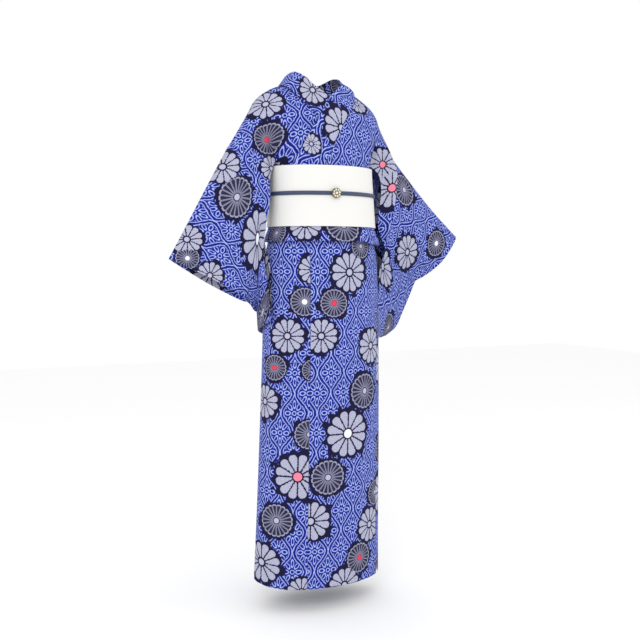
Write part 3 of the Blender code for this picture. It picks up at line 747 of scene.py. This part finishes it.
# Creases of the body's front by place (distance from the middle, height):
# the valley beside the arm, and pulls to it
bodyCreases = {
    "right": lineTable(
        (0.152, -0.055, 0.158, -0.225, -0.0065, 0.009, 0.004),
        (0.060, -0.100, 0.140, -0.190, 0.0022, 0.012, 0.006),
        (0.190, -0.080, 0.205, -0.240, -0.0030, 0.011),
        (0.100, -0.040, 0.145, -0.120, -0.0020, 0.011, -0.005),
    ),
    "left": lineTable(
        (0.140, -0.080, 0.150, -0.220, -0.0065, 0.009, -0.004),
        (0.060, -0.090, 0.125, -0.180, 0.0020, 0.012, -0.005),
        (0.175, -0.120, 0.182, -0.270, -0.0028, 0.010),
    ),
}


def chestDepth(x, z, face):
    deep = ringValue(chest, face, z)
    half = ringValue(chest, "half", z)
    share = np.abs(x - ringValue(chest, "cx", z)) / half
    body = deep * np.sqrt(np.clip(1 - ringValue(chest, "cut", z) * share**2, 0, 1))
    arm = 0.034 * smoothStep(0.10, 0.16, np.abs(x)) + 0.012 * smoothStep(0.17, 0.21, np.abs(x))
    return (body**6 + arm**6) ** (1 / 6)


def shoulderHeight(side, x, face):
    # The shoulder line, continued up into the neck: gently in front, and behind as the root of the way in
    table = shoulder[side]
    x = np.abs(x)
    inward = np.clip(table["x"][0] - x, 0, None)
    neck = 0.35 * inward if face == "front" else 0.14 * np.sqrt(inward)
    return spline(table["x"], table["z"], x) + neck


def rise(height, reach):
    share = np.clip(height / reach, 0, 1)
    return np.sqrt(1 - (1 - share) ** 2)


def surfaceY(side, x, z, face):
    below = np.clip(shoulderHeight(side, x, face) - z, 0, None)
    depth = chestDepth(x, z, face) * rise(below, 0.10)
    return -depth if face == "front" else depth


def levelShift(side, x, z, level):
    # The step forwards that lifts cloth off the front by level, which grows where the front is steep
    step = 0.004
    across = surfaceY(side, x + step, z, "front") - surfaceY(side, x - step, z, "front")
    upright = surfaceY(side, x, z + step, "front") - surfaceY(side, x, z - step, "front")
    slope = np.hypot(across, upright) / (2 * step)
    return level * np.sqrt(1 + np.clip(slope, 0, 2.4) ** 2)


def patch(top, bottom, inner, outer, corners, u, v):
    # Blend of four edge lines, less the blend of the corners that both pairs hold
    ruled = (1 - v) * top + v * bottom + (1 - u) * inner + u * outer
    topInner, topOuter, bottomInner, bottomOuter = corners
    atInner = (1 - v) * topInner + v * bottomInner
    atOuter = (1 - v) * topOuter + v * bottomOuter
    return ruled - (1 - u) * atInner - u * atOuter


def sleeveMid(side, s, t):
    # Patch between a sleeve's fold, bottom seam, inner edge and wrist edge
    lines = sleeve[side]
    s = np.asarray(s)
    t = np.asarray(t)
    fold, bottom = (tableLine(lines[key], "s", s) for key in ("fold", "bottom"))
    inner, wrist = (tableLine(lines[key], "t", t) for key in ("inner", "wrist"))
    corners = [tableLine(lines[key], "t", end) for end in (0.0, 1.0) for key in ("inner", "wrist")]
    return patch(fold, bottom, inner, wrist, corners, s[..., None], t[..., None])


def sleeveHalf(side, s, t):
    # Half the room between the layers: round over the arm, closed at the bottom and under the cuff
    lines = sleeve[side]
    cuff = lines["wrist"]["t"][2]
    lens = np.clip(np.sin(math.pi * t), 0, 1) ** 0.6 * (1 - 0.75 * smoothStep(0.55, 0.92, t))
    wristLens = np.clip(np.sin(math.pi * np.clip(t / cuff, 0, 1)), 0, 1) ** 0.6
    overArm = lines["arm"] * rise(t, 0.12) * (1 - smoothStep(0.30, 0.72, t))
    bag = lines["bag"] * lens * (0.35 + 0.65 * smoothStep(0.0, 0.25, s)) * smoothStep(0.0, 0.55, t)
    full = np.maximum(overArm, bag)
    closing = smoothStep(0.35, 1.0, s)
    return 0.0016 + (1 - closing) * full + closing * lines["wristHalf"] * wristLens


def sleeveLayers(side, s, t):
    mid = sleeveMid(side, s, t)
    step = 1e-3
    along = sleeveMid(side, s + step, t) - sleeveMid(side, s - step, t)
    down = sleeveMid(side, s, t + step) - sleeveMid(side, s, t - step)
    normal = np.cross(along, down)
    normal /= -np.linalg.norm(normal, axis=-1, keepdims=True)
    half = sleeveHalf(side, s, t)[..., None]
    flip = np.array([sides[side], 1, 1])
    return (mid + normal * half) * flip, (mid - normal * half) * flip


def sleevePlace(layerGrid, downSign):
    # Cloth places: across, counted back from the cuff, and down from the fold, with steep parts drawn shorter
    seen = layerGrid * np.array([1.0, 0.35, 1.0])
    across = runLength(seen, 0)
    return places(sleeveLook["flat"][0] - across[-1:] + across, downSign * runLength(seen, 1))


def resample(points, count):
    length = runLength(points, 0)
    return splinePoints(length, points, np.linspace(0, length[-1], count))


def collarRows(side, key):
    sign = sides[side]
    points = []
    for x, y, z in collar[side][key]:
        if y is None:
            y = float(surfaceY(side, np.array(x), np.array(z), "front"))
        points.append((sign * x, y, z))
    return np.array(points)


def bodyHalf(side, face):
    # One face of a body panel: shoulder line on top, armhole outside, and the lower edge
    # under the obi and past its side
    sign = sides[side]
    u = np.linspace(0, 1, bodyLook["columns"])
    v = np.linspace(0, 1, bodyLook["rows"])
    line = shoulder[side]
    reach = np.array(line["x"])
    top = resample(places(sign * reach, 0.0, line["z"]), len(u))
    depths = np.linspace(0.0, armholeEnd, 24)
    frontLayer, backLayer = sleeveLayers(side, np.zeros(24), depths)
    outer = resample(frontLayer if face == "front" else backLayer, len(v))
    seam = collarRows(side, "seam")
    neckSide = np.array([[sign * reach[0], 0.0, line["z"][0]]])
    if face == "front":
        inner = resample(np.concatenate([neckSide, seam[4:9]]), len(v))
    else:
        lowZ = np.array([-0.08, -0.15, heights["tuck"]])
        middle = places(0.0, surfaceY(side, 0 * lowZ, lowZ, face), lowZ)
        inner = resample(np.concatenate([neckSide, seam[2::-1], middle]), len(v))
        inner[:, 0] = sign * np.maximum(sign * inner[:, 0], seamGap / 2)
    edge = sideEdge[side]
    low = np.array([[inner[-1, 0], 0.0, inner[-1, 2]], [sign * 0.060, 0.0, heights["tuck"]]])
    past = places(sign * np.array(edge["x"]), 0.0, edge["z"])
    bottom = resample(np.concatenate([low, past, outer[-1:] * (1, 0, 1)]), len(u))
    corners = (top[0], top[-1], bottom[0], bottom[-1])
    flatInner, flatOuter = (ends[:, None] * (1, 0, 1) for ends in (inner, outer))
    grid = patch(top, bottom, flatInner, flatOuter, corners, u[:, None], v[:, None, None])
    grid[..., 1] = surfaceY(side, grid[..., 0], grid[..., 2], face)
    if face == "back":
        grid[..., 1] += (inner[:, 1] - grid[:, 0, 1])[:, None] * (1 - smoothStep(0.0, 0.40, u))
    grid[..., 1] += (outer[:, 1] - grid[:, -1, 1])[:, None] * smoothStep(0.45, 1.0, u)
    return grid


def bodyPlace(side, grid, rows):
    # Cloth places: across from the middle of the body, down with height and depth, and
    # mirrored over the shoulder line. Behind, across is the length run over the curve.
    across = sides[side] * grid[..., 0]
    down = grid[..., 2] - 0.5 * np.abs(grid[..., 1])
    line = spline(shoulder[side]["x"], shoulder[side]["z"], across)
    down[rows:] = 2 * line[rows:] - down[rows:]
    behind = smoothStep(rows, rows + 20, np.arange(len(grid)))[:, None]
    across = across + (across[:, :1] + runLength(grid * np.array([1.0, 1.0, 0.0]), 1) - across) * behind
    return places(across, down)


def buildBody():
    columns = bodyLook["columns"]
    rows = bodyLook["rows"]
    for side, sign in sides.items():
        front = bodyHalf(side, "front")
        back = bodyHalf(side, "back")
        if side == "left":
            over = levelShift(side, front[..., 0], front[..., 2], 2 * layer)
            over *= 1 - smoothStep(0.130, 0.170, front[..., 0])
            over *= smoothStep(0.0, 0.25, np.linspace(0, 1, rows))[:, None]
            front[..., 1] -= over
        grid = np.concatenate([front[::-1], back[1:]], axis=0)
        uv = bodyPlace(side, grid, rows)
        crease = softLines(places(np.abs(front[..., 0]), front[..., 2]), bodyCreases[side])
        crease *= 1 - smoothStep(0.86, 1.0, np.linspace(0, 1, columns))[None, :]
        grid[:rows, :, 1] -= crease[::-1]
        name = f"body{side.title()}Cloth"
        clothPiece(name, f"body_{side}", grid, uv, cotton, turned=sign > 0)
    print("body built")


# Sleeves

sleeveLook = {"stations": 62, "depths": 92, "flat": (0.33, 0.98), "shown": {"right": 0.200, "left": 0.240}}
# Creases by share of the width from the armhole and share of the depth
sleeveCreases = {
    "right": lineTable(
        (0.52, 0.60, 0.10, 0.86, -0.0045, 0.030),
        (0.05, 0.10, 0.42, 0.34, 0.0030, 0.040, 0.03),
        (0.04, 0.28, 0.34, 0.58, -0.0032, 0.035, -0.04),
        (0.30, 0.16, 0.84, 0.22, 0.0024, 0.050),
        (0.36, 0.44, 0.90, 0.38, -0.0026, 0.045, 0.03),
        (0.06, 0.55, 0.14, 0.95, 0.0026, 0.030),
    ),
    "left": lineTable(
        (0.05, 0.12, 0.55, 0.26, 0.0030, 0.040, -0.03),
        (0.06, 0.34, 0.40, 0.60, -0.0040, 0.034, 0.03),
        (0.28, 0.56, 0.22, 0.96, 0.0034, 0.045),
        (0.62, 0.48, 0.50, 0.92, -0.0040, 0.040, 0.02),
        (0.80, 0.52, 0.72, 0.90, 0.0026, 0.035),
        (0.48, 0.10, 0.92, 0.30, -0.0022, 0.040),
    ),
}


def buildSleeves():
    for side, sign in sides.items():
        even = np.linspace(0, 1, sleeveLook["depths"])
        depths = even - 0.75 * np.sin(2 * math.pi * even) / (2 * math.pi)
        stations = np.linspace(0, 1, sleeveLook["stations"])
        s, t = np.meshgrid(stations, depths, indexing="ij")
        front, back = sleeveLayers(side, s, t)
        through = (front - back) / np.linalg.norm(front - back, axis=-1, keepdims=True)
        crease = softLines(places(s, t), sleeveCreases[side]) * smoothStep(0.0, 0.12, s)
        front += through * crease[..., None]
        back += through * crease[..., None]
        grid = np.concatenate([front, back[:, ::-1]], axis=1)
        uvFront = sleevePlace(front, -1)
        left = np.concatenate([uvFront, sleevePlace(back, 1)[:, ::-1]], axis=1)
        right = np.concatenate([left[:, 1:], uvFront[:, :1]], axis=1)
        # The two layers' places meet at the fold, and the bottom seam gets a narrow strip of its own
        right[:, len(depths) - 1] = uvFront[:, -1] - np.array([0.0, 0.003])
        clothPiece(
            f"sleeve{side.title()}Cloth", f"sleeve_{side}", grid, (left, right), cotton,
            turned=sign > 0, closed=True,
        )
    print("sleeves built")


# Collar

collarLook = {"count": 150, "across": 12, "stand": 0.0038, "flat": (0.059, 0.93)}
collarCloth = {**cotton, "wall": 0.0020}


def collarHalf(side):
    # Half the band, from the nape to its front end, lifted clear of what lies under it
    knots = np.arange(len(collar[side]["seam"]))
    at = np.linspace(0, len(knots) - 1, collarLook["count"])
    seam, edge = (splinePoints(knots, collarRows(side, key), at) for key in ("seam", "edge"))
    w = np.linspace(0, 1, collarLook["across"])
    band = seam[:, None] * (1 - w)[None, :, None] + edge[:, None] * w[None, :, None]
    onChest = smoothStep(1.8, 2.9, at)[:, None]
    chestY = surfaceY(side, band[..., 0], band[..., 2], "front")
    flat = smoothStep(4.0, 5.2, at)[:, None]
    band[..., 1] = band[..., 1] * (1 - flat) + chestY * flat
    level = 3 * layer if side == "left" else layer
    band[..., 1] -= levelShift(side, band[..., 0], band[..., 2], level) * onChest
    return band


def buildCollar():
    band = np.concatenate([collarHalf("right")[::-1], collarHalf("left")[1:]], axis=0)
    normal = normalsOf(band)
    outward = places(band[..., 0], band[..., 1] * 1.2, 0.05)
    flip = np.where(np.sum(normal * outward, axis=-1, keepdims=True) < 0, -1, 1)
    stand = 1 - smoothStep(3.2, 4.6, np.abs(np.linspace(-9, 9, len(band))))
    band = band + normal * flip * (collarLook["stand"] * stand)[:, None, None]
    along = runLength(band, 0)[:, :1]
    width = np.linspace(0, collarLook["flat"][0], collarLook["across"])
    uv = places(width, along - along[len(band) // 2])
    clothPiece("collarCloth", "collar", band, uv, collarCloth, even=True)
    print("collar built")


# Sash, bow, cord and brooch

sashLook = {
    "out": 0.0122, "swell": 0.0006, "columns": 180, "rows": 40, "cream": (0.790, 0.785, 0.760),
    "thread": (0.730, 0.725, 0.700), "weave": 0.0042, "flat": (0.82, 0.157),
}
bowLook = {
    "columns": 70, "rows": 26, "flat": (0.25, 0.148), "shown": 0.031, "reach": 0.12, "droop": 0.020,
    "wrapFlat": (0.044, 0.165), "wrapHalf": (0.022, 0.0115, 0.0330), "wrapY": 0.1268,
}
# The middle line of a loop, from the wrap out along the sash and back
bowPath = {
    "q": np.linspace(0, 1, 9),
    "x": (0.004, 0.030, 0.075, 0.111, 0.120, 0.113, 0.075, 0.030, 0.004),
    "y": (0.1201, 0.1196, 0.1181, 0.1186, 0.1271, 0.1361, 0.1416, 0.1351, 0.1311),
}
cordLook = {
    "width": 0.0105, "thick": 0.0045, "rest": 0.0003, "stations": 480, "turn": 18, "plait": 0.0058,
    # slate is the braid's own colour; the lighter colour beside it is a painted highlight for the strands'
    # tops
    "slate": (0.016, 0.028, 0.070), "strandHighlight": (0.050, 0.075, 0.150),
}
broochLook = {
    "gold": (0.300, 0.235, 0.120), "dark": (0.050, 0.040, 0.030), "middle": 0.0036, "stones": 8,
    "circle": 0.0085, "large": 0.0028, "small": 0.0024,
}


def makeSashCloth():
    # Off-white cloth with a very fine zigzag weave in rows
    look = sashLook
    material, tree, shader = shaderOf("sashCloth", 0.80, sheen=0.04)
    _, u, v = uvFields(tree, "cloth")
    tooth = u.do("PINGPONG", look["weave"])
    share = (v + tooth).do("PINGPONG", look["weave"] / 2) / (look["weave"] / 2)
    feed(tree, shader.inputs["Base Color"], mixColour(tree, share * share, look["cream"], look["thread"]))
    addBump(tree, shader, share, 0.35, 0.0004)
    return material


def makeCordSilk():
    # Two sets of slanting strands that meet along the middle of the cord, u along it and v about its middle
    look = cordLook
    material, tree, shader = shaderOf("cordBraid", 0.55, sheen=0.05)
    _, u, v = uvFields(tree, "cloth")
    strand = ((u + abs(v)) * (2 * math.pi / look["plait"])).do("SINE") * 0.5 + 0.5
    # Painted light: the strands' tops are painted lighter and the grooves between them stay dark slate, as
    # painted highlight and painted shade
    feed(tree, shader.inputs["Base Color"], mixColour(tree, strand, look["slate"], look["strandHighlight"]))
    addBump(tree, shader, strand, 0.6, 0.0008)
    return material


sashCloth = {"material": makeSashCloth(), "slot": "obi_cloth", "wall": 0.0030}
bowCloth = {**sashCloth, "wall": 0.0022}


def buildSash():
    # The band follows the waist and swells a little between its edges
    around = np.linspace(-math.pi, math.pi, sashLook["columns"] + 1)
    z = np.linspace(heights["obiBottom"], heights["obiTop"], sashLook["rows"])[:, None]
    swell = sashLook["swell"] * np.sin(math.pi * np.linspace(0, 1, sashLook["rows"]))[:, None]
    grid = ringPoint(waistRings, around[:-1], z, sashLook["out"] + swell)
    uv = places(around * 0.125, z)
    clothPiece("sashCloth", "obi_band", grid, uv, sashCloth, closed=True, even=True)
    print("sash built")


def buildBow():
    # Each loop: the path in (x, y), wider and lower towards its outer end, with soft pleats
    look = bowLook
    at = np.linspace(0, 1, look["columns"])
    x = spline(bowPath["q"], bowPath["x"], at)
    y = spline(bowPath["q"], bowPath["y"], at)
    half = 0.026 + 0.048 * smoothStep(0.020, 0.112, x)
    v = np.linspace(-1, 1, look["rows"])[:, None]
    z = heights["bow"] + v * half - look["droop"] * (x / look["reach"]) ** 2
    pleat = 0.0015 * np.sin(v * math.pi * 2.5) * smoothStep(0.03, 0.06, x)
    for side, sign in sides.items():
        grid = places(sign * x, y + pleat, z)
        uv = places(runLength(grid, 1), v * look["flat"][1] / 2)
        clothPiece(
            f"bow{side.title()}Cloth", f"obi_loop_{side}", grid, uv, bowCloth,
            turned=sign < 0, even=True,
        )
    # The wrap: a round-cornered tube, |cos|^4 + |sin|^4 = 1, along X
    halfX, halfY, halfZ = look["wrapHalf"]
    around = np.linspace(0, 2 * math.pi, 97)
    turn = around[:-1]
    corner = 1 / (np.abs(np.cos(turn)) ** 4 + np.abs(np.sin(turn)) ** 4) ** 0.25
    x = np.linspace(-halfX, halfX, 14)[:, None]
    grid = places(
        x, look["wrapY"] + halfY * np.cos(turn) * corner, heights["bow"] + halfZ * np.sin(turn) * corner
    )
    uv = places(x, around * 0.024)
    clothPiece("bowWrapCloth", "obi_wrap", grid, uv, bowCloth, closed=True, even=True)
    print("bow built")


def surfaceOf(name, grid, material, closeRows):
    # A closed surface from rings of points. closeRows joins the last ring to the first.
    rows, columns = grid.shape[:2]
    index = np.arange(rows * columns).reshape(rows, columns)
    index = np.concatenate([index, index[:, :1]], axis=1)
    if closeRows:
        index = np.concatenate([index, index[:1]], axis=0)
    faces = np.stack([index[:-1, :-1], index[:-1, 1:], index[1:, 1:], index[1:, :-1]], axis=-1).reshape(-1, 4)
    caps = [] if closeRows else [index[0, :-1][::-1].tolist(), index[-1, :-1].tolist()]
    obj = addMesh(name, grid.reshape(-1, 3).tolist(), faces.tolist() + caps, material)
    obj.data.shade_smooth()
    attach(obj, "root")
    return obj


def addBead(name, centre, radius, material):
    # A sphere about centre, a little flat along Y, in rings along Y
    polar = np.linspace(0.12, math.pi - 0.12, 12)[:, None]
    turn = np.linspace(0, 2 * math.pi, 25)[:-1]
    unit = places(np.sin(polar) * np.cos(turn), 0.8 * np.cos(polar), np.sin(polar) * np.sin(turn))
    surfaceOf(name, centre + radius * unit, material, False)


def addRing(name, centre, major, minor, material):
    # A torus in the XZ plane
    turn = np.linspace(0, 2 * math.pi, 25)[:-1, None]
    roll = np.linspace(0, 2 * math.pi, 9)[:-1]
    reach = major + minor * np.cos(roll)
    unit = places(reach * np.cos(turn), minor * np.sin(roll), reach * np.sin(turn))
    surfaceOf(name, centre + unit, material, True)


def buildBrooch():
    # A ring of clear and pearly stones round a pearl, set on the brooch's front face
    look = broochLook
    gold, tree, shader = shaderOf("agedGold", 0.38, metallic=1.0)
    place = tree.nodes.new("ShaderNodeTexCoord")
    patches = (addNoise(tree, place.outputs["Object"], 700.0, dimensions="3D") - 0.42) * 5.0
    feed(tree, shader.inputs["Base Color"], mixColour(tree, patches, look["dark"], look["gold"]))
    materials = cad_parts["brooch"].data.materials
    materials.clear()
    materials.append(gold)
    low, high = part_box("brooch")
    centre = np.array([(low[0] + high[0]) / 2, low[1], (low[2] + high[2]) / 2])
    pearl = plainMaterial("pearl", (0.780, 0.750, 0.660), 0.22)
    clear = plainMaterial("clearStone", (0.700, 0.740, 0.720), 0.08)
    rim = plainMaterial("stoneSetting", (0.420, 0.330, 0.160), 0.30, 1.0)
    beads = [("pearlMiddle", 0.0, 0.0, look["middle"], pearl)]
    for k in range(look["stones"]):
        turn = 2 * math.pi * (k + 0.3) / look["stones"]
        x = look["circle"] * math.cos(turn)
        z = look["circle"] * math.sin(turn)
        size, material = (look["small"], pearl) if k % 2 else (look["large"], clear)
        beads.append((f"stone{k}", x, z, size, material))
    for name, x, z, radius, material in beads:
        addBead(name, centre + np.array([x, 0.0002, z]), radius, material)
        addRing(name + "Rim", centre + np.array([x, -0.0002, z]), radius * 1.08, radius * 0.20, rim)
    print("brooch built")


def buildCord():
    # A flat oval section carried round the sash, and just clear of it
    look = cordLook
    angle = np.linspace(-math.pi, math.pi, look["stations"] + 1)[:-1, None]
    out = sashLook["out"] + sashCloth["wall"] / 2 + look["rest"] + look["thick"] / 2
    around = np.linspace(0, -2 * math.pi, look["turn"] + 1)
    roll = around[:-1]
    grid = ringPoint(waistRings, angle, heights["cord"], out + look["thick"] / 2 * np.cos(roll))
    grid[..., 2] += look["width"] / 2 * np.sin(roll)
    cord = surfaceOf("cordBraid", grid, makeCordSilk(), True)
    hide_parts("cord")
    along = runLength(np.concatenate([grid, grid[:1]]), 0)[:, :1]
    place = places(along, look["width"] / 2 * np.sin(around))
    corners = np.stack([place[:-1, :-1], place[:-1, 1:], place[1:, 1:], place[1:, :-1]], axis=2)
    setCorners(cord.data, "cloth", corners)
    print("cord built")


buildSkirt()
buildWaistFold()
buildBody()
buildSleeves()
buildCollar()
buildSash()
buildBow()
buildBrooch()
buildCord()


# Floor, light and camera

def addLight(name, place, target, size, power):
    # A square light at place that faces its target
    data = bpy.data.lights.new(name, "AREA")
    data.size = size
    data.energy = power
    light = bpy.data.objects.new(name, data)
    light.location = place
    away = np.array(place) - np.array(target)
    turn = math.atan2(away[0], -away[1])
    tilt = math.atan2(np.hypot(away[0], away[1]), away[2])
    light.rotation_euler = (tilt, 0.0, turn)
    bpy.context.scene.collection.objects.link(light)


studio = {"floor": -1.360, "half": 6.0, "white": (0.955, 0.955, 0.955), "sky": (1.0, 1.0, 1.0)}
photoCamera = {
    "lens": 50.625, "sensor": 36.0, "clipEnd": 40.0, "place": (-1.0563, -2.1718, -0.451),
    "tilt": 86.5, "turn": -26.0,
}
cornerSigns = ((-1, -1), (1, -1), (1, 1), (-1, 1))
floorCorners = [(x * studio["half"], y * studio["half"], studio["floor"]) for x, y in cornerSigns]
floorWhite = plainMaterial("studioWhite", studio["white"], 0.9)
addMesh("studioFloor", floorCorners, [(0, 1, 2, 3)], floorWhite)
world = bpy.data.worlds.new("studioWorld")
world.use_nodes = True
background = world.node_tree.nodes["Background"]
background.inputs["Color"].default_value = (*studio["sky"], 1.0)
background.inputs["Strength"].default_value = 1.0
bpy.context.scene.world = world
addLight("keyLight", (-2.2, -3.0, 1.4), (0.0, 0.0, -0.5), 1.8, 44.0)
addLight("sideLight", (2.8, -1.2, 0.6), (0.0, 0.0, -0.6), 1.6, 12.0)
cameraData = bpy.data.cameras.new("photoCamera")
cameraData.lens = photoCamera["lens"]
cameraData.sensor_width = photoCamera["sensor"]
cameraData.clip_end = photoCamera["clipEnd"]
camera = bpy.data.objects.new("photoCamera", cameraData)
camera.location = photoCamera["place"]
camera.rotation_euler = (math.radians(photoCamera["tilt"]), 0.0, math.radians(photoCamera["turn"]))
bpy.context.scene.collection.objects.link(camera)
bpy.context.scene.camera = camera
bpy.context.scene.view_settings.view_transform = "Standard"
print("stage set")
